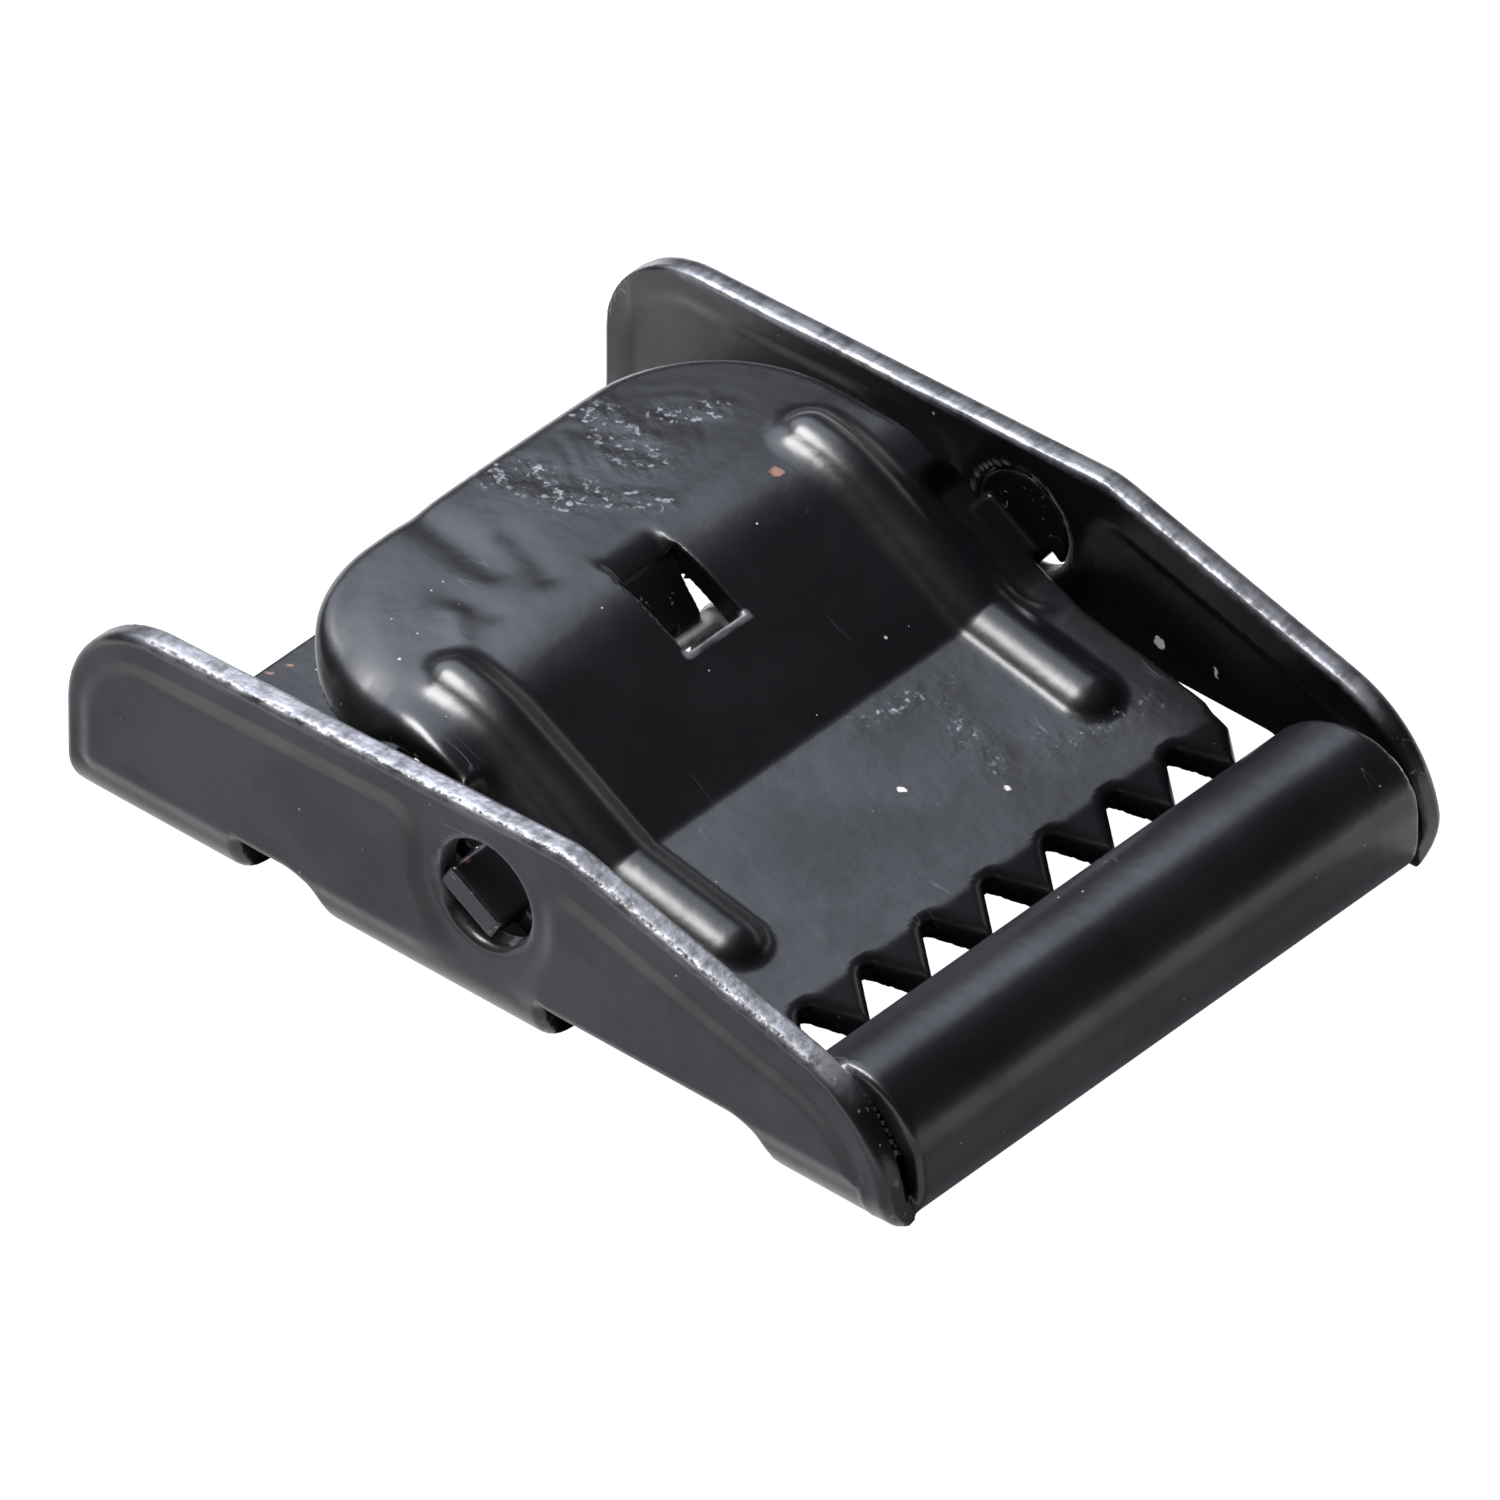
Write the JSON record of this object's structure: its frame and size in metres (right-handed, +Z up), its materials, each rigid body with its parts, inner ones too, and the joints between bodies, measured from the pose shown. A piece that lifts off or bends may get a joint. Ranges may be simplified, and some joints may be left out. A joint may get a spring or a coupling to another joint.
{
  "type": "cam buckle",
  "caption": "Stamped steel cam buckle for flat webbing: a low channel with a curled bar and a sprung toothed lever that pivots in its side walls.",
  "frame": {"origin": "centre of the outside box at the level of the underside of the base", "axes": "+X from the rear plate to the curled bar, +Y across the buckle to the far side wall, +Z up from the surface it rests on"},
  "size_m": [0.0422, 0.0326, 0.0109],
  "materials": {
    "frame_paint": "gloss black, worn to bare metal along the sheared top edges",
    "lever_paint": "gloss black, scuffed, with small chips on the thumb pad and the front plate",
    "spring_wire": "drawn wire"
  },
  "bodies": {
    "frame": {"frame": "frame_paint", "torsion_spring": "spring_wire"},
    "lever": {"lever": "lever_paint"}
  },
  "joints": [
    {"name": "lever_pivot", "type": "hinge", "parent": "frame", "child": "lever", "pos_m": [0.00025, 0, 0.0062], "axis": [0, -1, 0], "range_deg": [0, 28], "stiffness_Nm_per_rad": 0.08, "deforming": ["torsion_spring"]}
  ]
}
